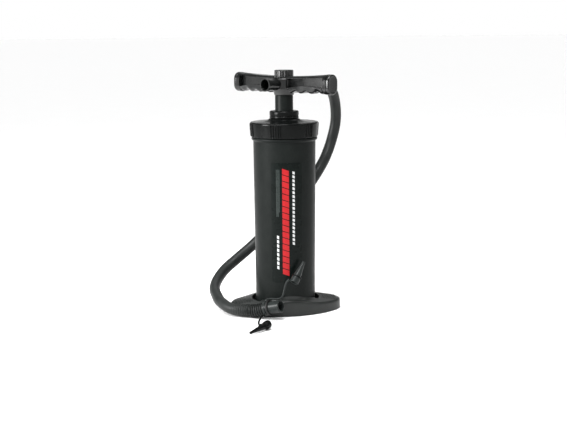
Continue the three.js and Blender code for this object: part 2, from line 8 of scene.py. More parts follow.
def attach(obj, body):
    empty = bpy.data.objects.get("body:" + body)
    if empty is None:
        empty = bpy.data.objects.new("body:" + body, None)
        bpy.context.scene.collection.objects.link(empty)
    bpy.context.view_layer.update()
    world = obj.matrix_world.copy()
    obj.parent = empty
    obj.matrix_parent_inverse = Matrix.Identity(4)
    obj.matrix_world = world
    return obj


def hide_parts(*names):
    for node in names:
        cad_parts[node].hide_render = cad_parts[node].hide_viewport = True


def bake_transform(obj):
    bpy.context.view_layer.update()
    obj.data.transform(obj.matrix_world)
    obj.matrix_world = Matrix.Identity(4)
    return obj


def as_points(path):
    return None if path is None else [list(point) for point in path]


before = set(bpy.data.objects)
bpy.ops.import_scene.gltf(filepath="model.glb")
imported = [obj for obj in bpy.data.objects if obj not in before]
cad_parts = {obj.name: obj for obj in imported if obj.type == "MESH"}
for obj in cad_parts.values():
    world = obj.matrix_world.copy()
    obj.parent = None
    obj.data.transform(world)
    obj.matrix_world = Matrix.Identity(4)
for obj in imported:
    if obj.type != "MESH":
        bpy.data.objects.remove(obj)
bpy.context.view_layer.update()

# Double action hand pump. Shapes are drawn in millimetres, in the CAD frame: +Z up, the floor at 0,
# the barrel on the Z axis. make() turns them into metres.
MM = 0.001

# ------------------------------------------------------------------ camera

CAMERA_AZIMUTH = -10.0
CAMERA_DISTANCE = 1.76
CAMERA_HEIGHT = 0.431
CAMERA_PITCH = 9.0
CAMERA_ROLL = -0.45

camera = bpy.data.objects.new("camera", bpy.data.cameras.new("camera"))
camera.data.lens = 73.6
camera.data.sensor_width = 36.0
camera.data.shift_x = -0.0025
camera.location = (
    math.sin(math.radians(CAMERA_AZIMUTH)) * CAMERA_DISTANCE,
    -math.cos(math.radians(CAMERA_AZIMUTH)) * CAMERA_DISTANCE,
    CAMERA_HEIGHT,
)
camera.rotation_euler = (
    Matrix.Rotation(math.radians(CAMERA_AZIMUTH), 3, "Z")
    @ Matrix.Rotation(math.radians(90 - CAMERA_PITCH), 3, "X")
    @ Matrix.Rotation(math.radians(CAMERA_ROLL), 3, "Z")
).to_euler()
bpy.context.scene.collection.objects.link(camera)
bpy.context.scene.camera = camera

# ------------------------------------------------------------------ mesh helpers

IDENTITY = Matrix.Identity(4)


def shade(obj, sharp=42.0):
    """Smooth faces, with edges sharper than an angle left crisp."""
    bm = bmesh.new()
    bm.from_mesh(obj.data)
    for face in bm.faces:
        face.smooth = True
    for edge in bm.edges:
        turn = edge.calc_face_angle(None)
        edge.smooth = turn is None or math.degrees(turn) < sharp
    bm.to_mesh(obj.data)
    bm.free()
    return obj


def make(name, vertices, faces, placed=IDENTITY):
    """An object from millimetre vertices, placed by a millimetre matrix."""
    mesh = bpy.data.meshes.new(name)
    mesh.from_pydata([placed @ Vector(v) * MM for v in vertices], [], faces)
    mesh.validate()
    obj = bpy.data.objects.new(name, mesh)
    bpy.context.scene.collection.objects.link(obj)
    return shade(obj)


def faced_out(obj):
    """The object with its faces turned outwards."""
    bm = bmesh.new()
    bm.from_mesh(obj.data)
    bmesh.ops.recalc_face_normals(bm, faces=bm.faces)
    bm.to_mesh(obj.data)
    bm.free()
    return obj


def rounded(points, radius, steps=3):
    """A polyline with its corners rounded. It is closed if it ends where it starts."""
    points = [Vector(p) for p in points]
    closed = (points[0] - points[-1]).length < 1e-6
    ring = points[:-1] if closed else points
    out = []
    for i, here in enumerate(ring):
        if not closed and i in (0, len(ring) - 1):
            out.append(here)
            continue
        before = ring[i - 1] - here
        after = ring[(i + 1) % len(ring)] - here
        a = here + before.normalized() * min(radius, before.length * 0.45)
        b = here + after.normalized() * min(radius, after.length * 0.45)
        for k in range(steps + 1):
            t = k / steps
            out.append(a * (1 - t) ** 2 + here * 2 * t * (1 - t) + b * t ** 2)
    return out + [out[0]] if closed else out


def lofted(name, profile_at, segments, placed=IDENTITY):
    """A body whose profile changes as it turns about Z. profile_at(angle) lists (radius, height)
    pairs, anticlockwise, which start and end on the axis or close on themselves."""
    rows = [profile_at(2 * math.pi * i / segments) for i in range(segments)]
    count = len(rows[0])
    closed = (Vector(rows[0][0]) - Vector(rows[0][-1])).length < 1e-6
    vertices = []
    index = {}
    for i, row in enumerate(rows):
        angle = 2 * math.pi * i / segments
        for j, (r, z) in enumerate(row):
            if closed and j == count - 1:
                index[i, j] = index[i, 0]
            elif abs(r) < 1e-6 and i:
                index[i, j] = index[0, j]
            else:
                index[i, j] = len(vertices)
                vertices.append((r * math.cos(angle), r * math.sin(angle), z))
    faces = []
    for i in range(segments):
        n = (i + 1) % segments
        for j in range(count - 1):
            corners = [index[i, j], index[n, j], index[n, j + 1], index[i, j + 1]]
            face = list(dict.fromkeys(corners))
            if len(face) > 2:
                faces.append(face)
    return make(name, vertices, faces, placed)


def turned(name, profile, segments=96, radius=0.4, placed=IDENTITY):
    """A turned body with rounded corners."""
    line = rounded(profile, radius)
    return lofted(name, lambda angle: line, segments, placed)


def rod(radius, low, high, x=0.0, y=0.0, placed=IDENTITY, segments=40):
    """A plain rod, for cutting and joining."""
    line = [(0, low), (radius, low), (radius, high), (0, high)]
    return lofted("tool", lambda angle: line, segments, placed @ Matrix.Translation((x, y, 0)))


def prism(name, outline, low, high, placed=IDENTITY):
    """A prism of an outline in the (x, y) plane, anticlockwise, from one z to another."""
    n = len(outline)
    vertices = [(x, y, low) for x, y in outline] + [(x, y, high) for x, y in outline]
    faces = [list(reversed(range(n))), list(range(n, 2 * n))]
    faces += [[i, (i + 1) % n, n + (i + 1) % n, n + i] for i in range(n)]
    return make(name, vertices, faces, placed)


def box(x, y, z, placed=IDENTITY):
    """A plain box, for cutting and joining."""
    outline = [(x[0], y[0]), (x[1], y[0]), (x[1], y[1]), (x[0], y[1])]
    return prism("tool", outline, z[0], z[1], placed)


def settle(obj):
    """Applies an object's modifiers."""
    bpy.context.view_layer.update()
    depsgraph = bpy.context.evaluated_depsgraph_get()
    mesh = bpy.data.meshes.new_from_object(obj.evaluated_get(depsgraph))
    obj.modifiers.clear()
    obj.data = mesh
    return obj


def combined(obj, operation, tools):
    """The object after an exact boolean with each tool in turn. The tools are used up."""
    for tool in tools:
        modifier = obj.modifiers.new("boolean", "BOOLEAN")
        modifier.operation = operation
        modifier.solver = "EXACT"
        modifier.object = tool
    settle(obj)
    for tool in tools:
        bpy.data.objects.remove(tool)
    return obj


def joined(obj, *tools):
    return combined(obj, "UNION", tools)


def cut(obj, *tools):
    return combined(obj, "DIFFERENCE", tools)


def cleaned(obj, gap):
    """The object without the edges and faces that are too small to show."""
    bm = bmesh.new()
    bm.from_mesh(obj.data)
    bmesh.ops.remove_doubles(bm, verts=bm.verts, dist=gap * MM)
    bmesh.ops.dissolve_degenerate(bm, edges=bm.edges, dist=gap * MM)
    bmesh.ops.holes_fill(bm, edges=[edge for edge in bm.edges if edge.is_boundary], sides=0)
    bm.to_mesh(obj.data)
    bm.free()
    return obj


CUT_GAP = 0.05    # what a boolean leaves that is smaller than this goes
BEVEL_GAP = 0.01  # and the same after a bevel
SHARP = 50.0


def softened(obj, width, segments=3, angle=35.0):
    """Rounds an object's sharp edges, and shades it."""
    cleaned(obj, CUT_GAP)
    bevel = obj.modifiers.new("bevel", "BEVEL")
    bevel.width = width * MM
    bevel.segments = segments
    bevel.limit_method = "ANGLE"
    bevel.angle_limit = math.radians(angle)
    shade(cleaned(settle(obj), BEVEL_GAP), SHARP)
    weighted = obj.modifiers.new("weighted", "WEIGHTED_NORMAL")
    weighted.keep_sharp = True
    weighted.weight = 100
    return settle(obj)


def along(origin, towards):
    """The matrix whose Z axis points from an origin in a direction, and whose X axis is level."""
    z = Vector(towards).normalized()
    x = Vector((0, 0, 1)).cross(z).normalized()
    y = z.cross(x)
    columns = Matrix((x, y, z)).transposed().to_4x4()
    return Matrix.Translation(origin) @ columns


def smoothstep(t):
    """A soft step from 0 to 1 as t goes from 0 to 1."""
    t = min(max(t, 0.0), 1.0)
    return t * t * (3 - 2 * t)


# ------------------------------------------------------------------ curves and tubes


def curve_through(points, per_span=16):
    """Close points on the centripetal Catmull-Rom curve through a route's points."""
    points = [Vector(p) for p in points]
    ends = [points[0] * 2 - points[1]] + points + [points[-1] * 2 - points[-2]]
    line = []
    for p0, p1, p2, p3 in zip(ends, ends[1:], ends[2:], ends[3:]):
        d0, d1, d2 = ((b - a).length ** 0.5 for a, b in ((p0, p1), (p1, p2), (p2, p3)))
        t1 = ((p1 - p0) / d0 - (p2 - p0) / (d0 + d1) + (p2 - p1) / d1) * d1
        t2 = ((p2 - p1) / d1 - (p3 - p1) / (d1 + d2) + (p3 - p2) / d2) * d1
        for k in range(per_span):
            t = k / per_span
            square, cube = (p2 - p1) * 3 - t1 * 2 - t2, (p1 - p2) * 2 + t1 + t2
            line.append(p1 + t1 * t + square * t ** 2 + cube * t ** 3)
    return line + [points[-1]]


def length_of(line):
    return sum((b - a).length for a, b in zip(line, line[1:]))


def spaced(line, count, start=0.0, end=1.0):
    """Evenly spaced points along a line, between two shares of its length."""
    total = length_of(line)
    wanted = [total * (start + (end - start) * i / (count - 1)) for i in range(count)]
    out = []
    walked = 0.0
    spans = iter(zip(line, line[1:]))
    a, b = next(spans)
    for distance in wanted:
        while walked + (b - a).length < distance - 1e-9:
            walked += (b - a).length
            a, b = next(spans, (b, b + (b - a)))
        out.append(a + (b - a) * ((distance - walked) / (b - a).length))
    return out


def tube(name, line, radius_at, sides):
    """A tube along a line. radius_at(share) is its radius at a share of the line's points."""
    tangents = [
        (line[min(i + 1, len(line) - 1)] - line[max(i - 1, 0)]).normalized() for i in range(len(line))
    ]
    side = tangents[0].cross(Vector((0, 0, 1))).normalized()
    vertices = []
    for i, (point, tangent) in enumerate(zip(line, tangents)):
        side = (side - tangent * side.dot(tangent)).normalized()
        up = side.cross(tangent)
        radius = radius_at(i / (len(line) - 1))
        for k in range(sides):
            angle = 2 * math.pi * k / sides
            vertices.append(point + side * radius * math.cos(angle) + up * radius * math.sin(angle))
    faces = []
    for i in range(len(line) - 1):
        for k in range(sides):
            n = (k + 1) % sides
            faces.append([i * sides + n, i * sides + k, (i + 1) * sides + k, (i + 1) * sides + n])
    last = (len(line) - 1) * sides
    faces.append(list(range(sides)))
    faces.append(list(reversed(range(last, last + sides))))
    return faced_out(make(name, vertices, faces))


# ------------------------------------------------------------------ materials

MOTTLE_SCALE = 70.0    # the scale of the colour's slow changes, per metre
SPECK_SHARE = 0.35     # the part of a colour change that comes from the fine grain
GRAIN_DEPTH = 0.00008  # metres


def node(tree, kind, **settings):
    """A new shader node. Each setting is the value of a socket, or else a property."""
    made = tree.nodes.new(kind)
    for key, value in settings.items():
        if key in made.inputs:
            made.inputs[key].default_value = value
        else:
            setattr(made, key, value)
    return made


def noise(tree, scale, detail=3.0):
    """Noise over the object's own coordinates."""
    coordinates = node(tree, "ShaderNodeTexCoord")
    made = node(tree, "ShaderNodeTexNoise", Scale=scale, Detail=detail)
    tree.links.new(coordinates.outputs["Object"], made.inputs["Vector"])
    return made.outputs["Fac"]


def spread(tree, value, low, high, start=0.3, end=0.7):
    """A number from low to high as value goes from start to end."""
    made = node(tree, "ShaderNodeMapRange")
    made.inputs["From Min"].default_value = start
    made.inputs["From Max"].default_value = end
    made.inputs["To Min"].default_value = low
    made.inputs["To Max"].default_value = high
    tree.links.new(value, made.inputs["Value"])
    return made.outputs["Result"]


def material(name, dark, light, rough, grain, depth, metallic=0.0, specular=0.5):
    """A plastic, rubber, ink or metal: its colour and roughness wander over a few centimetres, and its
    surface has a fine grain. rough is (lowest, highest), grain is the grain's scale per metre, and
    depth is the strength of its bumps."""
    made = bpy.data.materials.new(name)
    made.use_nodes = True
    tree = made.node_tree
    shader = tree.nodes["Principled BSDF"]
    shader.inputs["Metallic"].default_value = metallic
    shader.inputs["Specular IOR Level"].default_value = specular
    patches = noise(tree, MOTTLE_SCALE, 4.0)
    specks = noise(tree, grain, 2.0)
    blend = node(tree, "ShaderNodeMix", data_type="RGBA")
    blend.inputs["A"].default_value = (*dark, 1)
    blend.inputs["B"].default_value = (*light, 1)
    share = node(tree, "ShaderNodeMath", operation="MULTIPLY_ADD")
    share.inputs[1].default_value = SPECK_SHARE
    tree.links.new(specks, share.inputs[0])
    tree.links.new(spread(tree, patches, 0.0, 1.0 - SPECK_SHARE), share.inputs[2])
    tree.links.new(share.outputs[0], blend.inputs["Factor"])
    tree.links.new(blend.outputs["Result"], shader.inputs["Base Color"])
    tree.links.new(spread(tree, patches, rough[0], rough[1]), shader.inputs["Roughness"])
    bump = node(tree, "ShaderNodeBump", Strength=depth, Distance=GRAIN_DEPTH)
    tree.links.new(specks, bump.inputs["Height"])
    tree.links.new(bump.outputs["Normal"], shader.inputs["Normal"])
    return made


SATIN = material("satin_plastic", (0.0050, 0.0062, 0.0058), (0.0082, 0.0097, 0.0091),
                 (0.32, 0.42), 1500, 0.6, specular=0.06)
GLOSS = material("gloss_plastic", (0.0022, 0.0026, 0.0025), (0.0040, 0.0045, 0.0044),
                 (0.17, 0.25), 900, 0.12, specular=0.09)
FOOT = material("foot_plastic", (0.0080, 0.0095, 0.0088), (0.0145, 0.0165, 0.0155),
                (0.32, 0.42), 1300, 0.5, specular=0.26)
BRIGHT = material("handle_plastic", (0.0026, 0.0030, 0.0029), (0.0048, 0.0053, 0.0052),
                  (0.16, 0.24), 900, 0.12, specular=0.42)
HOSE = material("hose_plastic", (0.0085, 0.0097, 0.0093), (0.0145, 0.0162, 0.0157),
                (0.38, 0.48), 900, 0.35, specular=0.17)
GREY = material("grey_plastic", (0.0095, 0.0115, 0.011), (0.016, 0.019, 0.0185),
                (0.28, 0.36), 900, 0.1, specular=0.14)
RUBBER = material("rubber", (0.003, 0.003, 0.003), (0.006, 0.006, 0.006),
                  (0.62, 0.80), 1800, 0.6, specular=0.3)
WHITE = material("inner_plastic", (0.62, 0.62, 0.60), (0.70, 0.70, 0.68),
                 (0.35, 0.48), 900, 0.1)
STEEL = material("zinc_steel", (0.50, 0.50, 0.52), (0.62, 0.62, 0.63),
                 (0.25, 0.42), 2500, 0.3, metallic=1.0)
FILM = material("label_film", (0.0018, 0.0032, 0.0027), (0.0032, 0.0050, 0.0044),
                (0.24, 0.32), 600, 0.06, specular=0.09)
RED_INK = material("red_ink", (0.26, 0.003, 0.005), (0.34, 0.006, 0.009),
                   (0.34, 0.46), 900, 0.08, specular=0.25)
WHITE_INK = material("white_ink", (0.40, 0.41, 0.41), (0.50, 0.51, 0.51),
                     (0.34, 0.46), 900, 0.08)
GREY_INK = material("grey_ink", (0.035, 0.045, 0.042), (0.06, 0.072, 0.068),
                    (0.34, 0.46), 900, 0.08, specular=0.25)


def place(obj, look, slot, body, *replaced):
    """Gives a piece its material and body, and hides the CAD nodes that it stands for. Its slot is not used.
    """
    obj.data.materials.clear()
    obj.data.materials.append(look)
    if body:
        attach(obj, body)
    if replaced:
        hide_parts(*replaced)
    return obj


# ------------------------------------------------------------------ hose, straps and what they carry

# The hose's route, from the cuff on the rear port, down behind the barrel and round to the front.
HOSE_ROUTE = [
    (49.6, 36, 349), (57.3, 41.7, 348.9), (73.5, 56, 344.8), (90.5, 76, 332.5), (100, 93.5, 310.5),
    (102.5, 102.5, 282), (96, 102.5, 253), (84, 91, 228), (69, 74.5, 208.5), (51.5, 64.5, 186.5),
    (33.5, 64.5, 162.5), (16, 73, 139.5), (-1.5, 86.5, 119.5), (-18.5, 102, 99.5), (-37.5, 113, 79),
    (-60, 113.5, 60.5), (-82, 101.5, 45.5), (-97, 79.5, 33.5), (-104.5, 52, 26.5), (-105, 24, 22),
    (-101, -3, 16.5), (-87, -27, 11), (-62.5, -44, 11.5),
]
CUFF_ROUTE = [
    (-61.9, -44.4, 11.5), (-58, -46.8, 11.7), (-52.4, -50.3, 12.7), (-46.4, -53.7, 14.3),
    (-38.5, -58.2, 17.1),
]
UPPER_STRAP_ROUTE = [
    (-38.6, -52.8, 28.9), (-33.5, -53.9, 30.2), (-26.9, -56.3, 30.4), (-20, -59.5, 31), (-15, -59.5, 35),
    (-12.5, -58, 42), (-11, -58, 49), (-8.9, -59.7, 55.5), (-5.2, -61.9, 60.6),
]
LOWER_STRAP_ROUTE = [
    (-45.2, -66, 9.2), (-51, -74, 6.2), (-55, -83, 3.6), (-56.8, -93, 2.8), (-56.8, -102, 3.6),
    (-55.8, -108.6, 5.4), (-54, -111.9, 6.6),
]
# Where the end fitting and the nozzles lie. Their Z axes point out of the mouth and to the tips.
CONNECTOR = along((-40, -57, 16.6), (0.742, -0.623, 0.24))
WIDE_NOZZLE = along((1.1, -66, 55.9), (18, 13, 29))
NARROW_NOZZLE = along((-45.5, -113.9, 7), (-32, -33.1, -2.9))

HOSE_RADIUS = 8.5
STRAP_RADIUS = 1.7
HOSE_SPLIT = 0.52  # the share of the route at which the upper hose ends and the lower one starts
SEAM_GAP = 0.05
COARSE_END, FINE_START = 0.94, 0.9405  # beyond these shares the points are close, to draw the rings
RIBS_LENGTH, RIB_PITCH, RIB_RISE, RIB_SINK = 34.0, 3.6, 1.5, 0.4  # the rings before the bellows

hose_line = curve_through(HOSE_ROUTE)
seam = HOSE_SPLIT + SEAM_GAP / length_of(hose_line)
upper_line = spaced(hose_line, 200, 0.0, HOSE_SPLIT)
lower_line = spaced(hose_line, 150, seam, COARSE_END) + spaced(hose_line, 100, FINE_START, 1.0)


def hose(name, line, ribbed=0.0):
    """A length of hose. Over its last stretch, ribbed mm long, rings grow out of it."""
    walked = [0.0]
    for a, b in zip(line, line[1:]):
        walked.append(walked[-1] + (b - a).length)

    def radius_at(share):
        to_end = walked[-1] - walked[round(share * (len(line) - 1))]
        if to_end >= ribbed:
            return HOSE_RADIUS
        ring = RIB_RISE * math.sin(math.pi * to_end / RIB_PITCH) ** 2 - RIB_SINK
        return HOSE_RADIUS + (1 - to_end / ribbed) * ring

    return tube(name, line, radius_at, 40)


def corrugated_cuff():
    """The bellows that keeps the hose from kinking, and a plain collar at its outer end."""
    line = spaced(curve_through(CUFF_ROUTE), 190)
    rings = 6
    start, end = 0.03, 0.80
    collar, groove, rise = 9.0, 8.0, 1.95

    def radius_at(share):
        if share < start or share > end:
            return collar
        wave = 0.5 - 0.5 * math.cos(2 * math.pi * rings * (share - start) / (end - start))
        return groove + rise * smoothstep(wave)

    return line, tube("cuff_bellows", line, radius_at, 40)


def connector():
    """The grey end fitting, with a flange behind its band and a round-lipped mouth."""
    return turned("connector_body", [
        (5, -8.5), (6.3, -8.5), (6.3, 3.7), (10.6, 3.7), (10.6, 5.3), (9.25, 5.3), (9.25, 24.2), (9.5, 24.6),
        (9.5, 26.4), (8.9, 27), (7.7, 27), (7.4, 26.5), (7.4, 8), (5, 5), (5, -8.5),
    ], 96, 0.3, CONNECTOR)


def strap_ring():
    """The ring that both straps are moulded to, with a lug for each."""
    ring = turned("ring_with_lugs", [
        (6.6, 0.4), (10.9, 0.4), (11.3, 0.9), (11.3, 2.9), (10.9, 3.4), (6.6, 3.4), (6.6, 0.4),
    ], 72, 0.3, CONNECTOR)
    lugs = []
    for route in (UPPER_STRAP_ROUTE, LOWER_STRAP_ROUTE):
        root = Vector(route[0])
        inwards = (CONNECTOR @ Vector((0, 0, 1.9)) - root).normalized()
        line = [root + inwards * step for step in (-0.2, 0.6, 1.6, 2.6)]
        lugs.append(tube("lug", line, lambda share: 1.75, 16))
    return joined(ring, *lugs)


def nozzle(name, placed, length, cup, neck, tip, hole, lug=0.0):
    """A nozzle: a cup that fits the connector's mouth, and a cone with a hole through it. cup, neck, tip
    and hole are radii, and lug is half the width of a bar across the neck."""
    body = turned(name, [
        (cup - 1.6, 0), (cup - 0.4, 0), (cup, 0.5), (cup, 8.2), (cup - 0.3, 9), (neck, 11.5), (neck, 12.5),
        (tip, length - 4), (tip, length - 0.6), (tip - 0.3, length), (hole, length), (hole, 10),
        (cup - 1.6, 8), (cup - 1.6, 0),
    ], 64, 0.5, placed)
    if lug:
        bar = box((-lug, lug), (-1.4, 1.4), (9.4, 12.6), placed)
        plug = rod(hole - 0.05, 7, 14, placed=placed)
        body = joined(body, cut(softened(bar, 0.5, 3), plug))
    return shade(body)


upper_hose = place(hose("hose_upper_tube", upper_line), HOSE, "hose_plastic", None, "hose_upper")
lower_hose = place(hose("hose_lower_tube", lower_line, RIBS_LENGTH), HOSE, "hose_plastic", None, "hose_lower")
cuff_line, cuff = corrugated_cuff()
connector_room = [(0, -9), (6.6, -9), (6.6, 0.05), (15, 0.05), (15, 12), (0, 12)]
cuff = cut(cuff, lofted("tool", lambda angle: connector_room, 48, CONNECTOR))
place(shade(cuff), HOSE, "hose_plastic", "barrel", "corrugated_cuff")
joint = place(connector(), GREY, "grey_plastic", "barrel", "connector")
ring = place(shade(strap_ring()), GREY, "grey_plastic", "barrel", "strap_ring")
black_ring = place(turned("connector_band", [
    (9.6, 5.6), (11.3, 5.6), (11.8, 6.1), (11.8, 7.9), (11.3, 8.4), (9.6, 8.4), (9.6, 5.6),
], 72, 0.3, CONNECTOR), RUBBER, "black_rubber", "barrel", "connector_ring")


def strap(name, route, look, slot, replaced):
    """A thin moulded strap, a little thicker at its ends."""
    line = spaced(curve_through(route), 70)
    made = tube(name, line, lambda share: STRAP_RADIUS - 0.25 * math.sin(math.pi * share) ** 0.5, 16)
    return line, place(made, look, slot, "barrel", replaced)


wide_line, wide_strap = strap("wide_strap", UPPER_STRAP_ROUTE, GREY, "grey_plastic", "wide_nozzle_strap")
narrow_line, narrow_strap = strap("narrow_strap", LOWER_STRAP_ROUTE, GLOSS, "black_plastic",
                                  "narrow_nozzle_strap")
wide = place(nozzle("wide_tip", WIDE_NOZZLE, 36, 6.8, 5.8, 2.6, 1.7),
             GREY, "grey_plastic", "barrel", "wide_nozzle")
wide_band = place(turned("wide_tip_band", [
    (5.6, 9.2), (7.4, 9.2), (7.8, 9.6), (7.8, 10.4), (7.4, 10.8), (5.6, 10.8), (5.6, 9.2),
], 56, 0.3, WIDE_NOZZLE), GLOSS, "black_plastic", "barrel")
narrow = place(nozzle("narrow_tip", NARROW_NOZZLE, 46, 6.2, 4.8, 2.2, 1.3, 9.5),
               GLOSS, "black_plastic", "barrel", "narrow_nozzle")

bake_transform(upper_hose)
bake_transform(lower_hose)


def metres(line):
    return [tuple(p * MM) for p in line]


length_of(upper_line) * MM
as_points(metres(upper_line))
length_of(lower_line) * MM
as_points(metres(lower_line))
length_of(wide_line) * MM
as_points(metres(wide_line))
length_of(narrow_line) * MM
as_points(metres(narrow_line))

# ------------------------------------------------------------------ foot and barrel

FOOT_HALF = 87
LENS_HALF, LENS_DEPTH = 93, 51.5  # the lens before its tips are rounded off
FOOT_RIM, RIM_RISE = 16.5, 9
COLLAR_TOP, COLLAR_RISE = 21, 10
FOOT_EDGE, FOOT_INNER, FOOT_FLOOR = 5, 46.1, 4
MOAT_WIDTH, MOAT_FLOOR, MOAT_SPAN = 6, 12, 62  # the hollows on both sides of the barrel
TREAD_FROM, TREAD_TO, TREAD_HALF = 54, 81, 19  # the ridges' field on each wing
TREAD_PITCH, TREAD_HEIGHT = 3.9, 1.2
SHOE_FROM, SHOE_GAP, SHOE_INSET = 49, 1.4, 4
SCREW_CIRCLE, SCREW_HEAD_HOLE, SCREW_HOLE = 30, 3.9, 1.9
SCREW_ANGLES = (45, 135, 225, 315)


def on_circle(radius, degrees):
    return radius * math.cos(math.radians(degrees)), radius * math.sin(math.radians(degrees))


def foot_radius(angle, inset=0.0):
    """The foot's edge: a lens of two arcs, whose tips are rounded off."""
    radius = (LENS_HALF ** 2 + LENS_DEPTH ** 2) / (2 * LENS_DEPTH)
    centre = radius - LENS_DEPTH
    lens = math.sqrt(radius ** 2 - (centre * math.cos(angle)) ** 2) - centre * abs(math.sin(angle))
    return (lens ** -24 + FOOT_HALF ** -24) ** (-1 / 24) - inset


def tread(x, y):
    """How high the anti-slip ridges stand on the foot's wings."""
    along_wing = smoothstep((abs(x) - TREAD_FROM) / 1.5) * smoothstep((TREAD_TO - abs(x)) / 1.5)
    across = smoothstep((TREAD_HALF - abs(y)) / 2)
    return TREAD_HEIGHT * along_wing * across * (0.5 + 0.5 * math.cos(2 * math.pi * x / TREAD_PITCH)) ** 2


def foot_profile(angle):
    """The foot's section. Its rim and its collar stand higher towards the front and the back."""
    r = foot_radius(angle)
    front = abs(math.sin(angle)) ** 3
    lip = COLLAR_TOP + COLLAR_RISE * front
    bend = 1 + 0.9 * front
    start = FOOT_INNER + 0.6
    edge = FOOT_EDGE
    rim_top = FOOT_RIM + RIM_RISE * front
    steps, edge_steps = 46, 7
    shoulder = []
    for i in range(steps + 1):
        t = i / steps
        out = r - edge - (r - edge - start) * t
        up = rim_top + (lip - rim_top) * t ** bend
        shoulder.append((out, up + tread(out * math.cos(angle), out * math.sin(angle))))
    rim = []
    for i in range(edge_steps):
        t = i / edge_steps * math.pi / 2
        rim.append((r - edge * (1 - math.cos(t)), rim_top - edge * (1 - math.sin(t))))
    return [(0, 0), (r - 1.0, 0), (r - 0.3, 0.3), (r, 1.0), *rim, *shoulder, (FOOT_INNER, lip - 0.5),
            (FOOT_INNER, FOOT_FLOOR), (0, FOOT_FLOOR)]


def sector(inner, outer, low, high, middle, span):
    """A part of a ring."""
    count = 16
    angles = [math.radians(middle - span / 2 + span * i / count) for i in range(count + 1)]
    outline = [(outer * math.cos(a), outer * math.sin(a)) for a in angles]
    outline += [(inner * math.cos(a), inner * math.sin(a)) for a in reversed(angles)]
    return prism("tool", outline, low, high)


def foot():
    """The floor plate: hollows beside the barrel, a groove round each shoe, and four screw holes."""
    body = lofted("foot_plate", foot_profile, 360)
    tools = [sector(FOOT_INNER - 1, FOOT_INNER + MOAT_WIDTH, MOAT_FLOOR, 40, middle, MOAT_SPAN)
             for middle in (0, 180)]
    edge = [on_circle(foot_radius(math.radians(degrees), SHOE_INSET), degrees)
            for degrees in range(0, 360, 2)]
    for side in (1, -1):
        for half in (1, -1):
            outline = [(x, y) for x, y in edge if x * side > SHOE_FROM and y * half > SHOE_GAP]
            outline.sort(key=lambda p: abs(p[1]))
            near = (outline[0][0], SHOE_GAP * half)
            far = (SHOE_FROM * side, outline[-1][1])
            outline = [(SHOE_FROM * side, SHOE_GAP * half), near, *outline, far]
            turn = sum(a[0] * b[1] - b[0] * a[1] for a, b in zip(outline, outline[1:] + outline[:1]))
            tools.append(prism("tool", outline if turn > 0 else outline[::-1], -2, 8))
    for a in SCREW_ANGLES:
        x, y = on_circle(SCREW_CIRCLE, a)
        tools.append(rod(SCREW_HEAD_HOLE, -1, 2, x, y))
        tools.append(rod(SCREW_HOLE, -1, FOOT_FLOOR + 1, x, y))
    return softened(cut(body, *tools), 0.5, 2, 40)


def barrel():
    """The tapered tube, with its floor, its stop ring and its thread."""
    threads = [(47.2, 273), (48.1, 274.3), (47.2, 275.6), (47.2, 278), (48.1, 279.3), (47.2, 280.6)]
    return turned("barrel_tube", [
        (0, 10), (43.2, 10), (43.2, 4.3), (45.3, 4.3), (45.5, 5.8), (47.4, 263.4), (47.9, 264.3),
        (50, 266), (50, 268.6), (47.2, 269.2), *threads, (47.2, 285.2), (46.4, 286), (43, 286),
        (43, 13.5), (0, 13.5),
    ], 160, 0.6)


def cross_screw(name, head, shank, low, neck, high, x, y):
    """A pan head screw, head down, with a cross recess."""
    placed = Matrix.Translation((x, y, 0))
    made = turned(name, [
        (0, low), (head * 0.7, low + 0.05), (head, low + 0.5), (head, neck), (shank, neck),
        (shank, high - 1), (0, high),
    ], 48, 0.3, placed)
    slots = [box((-head * 0.5, head * 0.5), (-0.35, 0.35), (low - 1, low + 0.7), placed),
             box((-0.35, 0.35), (-head * 0.5, head * 0.5), (low - 1, low + 0.7), placed)]
    return shade(cut(made, *slots))


place(foot(), FOOT, "barrel_plastic", "barrel", "foot")
place(barrel(), SATIN, "barrel_plastic", "barrel", "barrel")
for number, angle in enumerate(SCREW_ANGLES, 1):
    screw = cross_screw(f"foot_cross_screw_{number}", 3.4, 1.55, 0.5, 1.85, 11.2,
                        *on_circle(SCREW_CIRCLE, angle))
    place(screw, STEEL, "screw_steel", "barrel", f"foot_screw_{number}")

# ------------------------------------------------------------------ label

LABEL_LOW, LABEL_HIGH = 52, 234
LABEL_MIDDLE, LABEL_SPAN = -96.5, 58  # degrees
PRINT_MIDDLE = -100                   # degrees, the side that faces the camera
FILM_LIFT, FILM_THICKNESS = 0.32, 0.18
PRINT_LIFT, PRINT_THICKNESS = 0.40, 0.05


def barrel_radius(z):
    """The barrel's outer radius at a height. It widens evenly from its foot to its stop ring."""
    base, low, high, widening = 45.5, 4.3, 266, 2
    return base + (z - low) / (high - low) * widening


def thickened(sheet, thickness):
    """A sheet, made solid behind its face."""
    solid = sheet.modifiers.new("thickness", "SOLIDIFY")
    solid.thickness = thickness * MM
    return shade(settle(sheet))


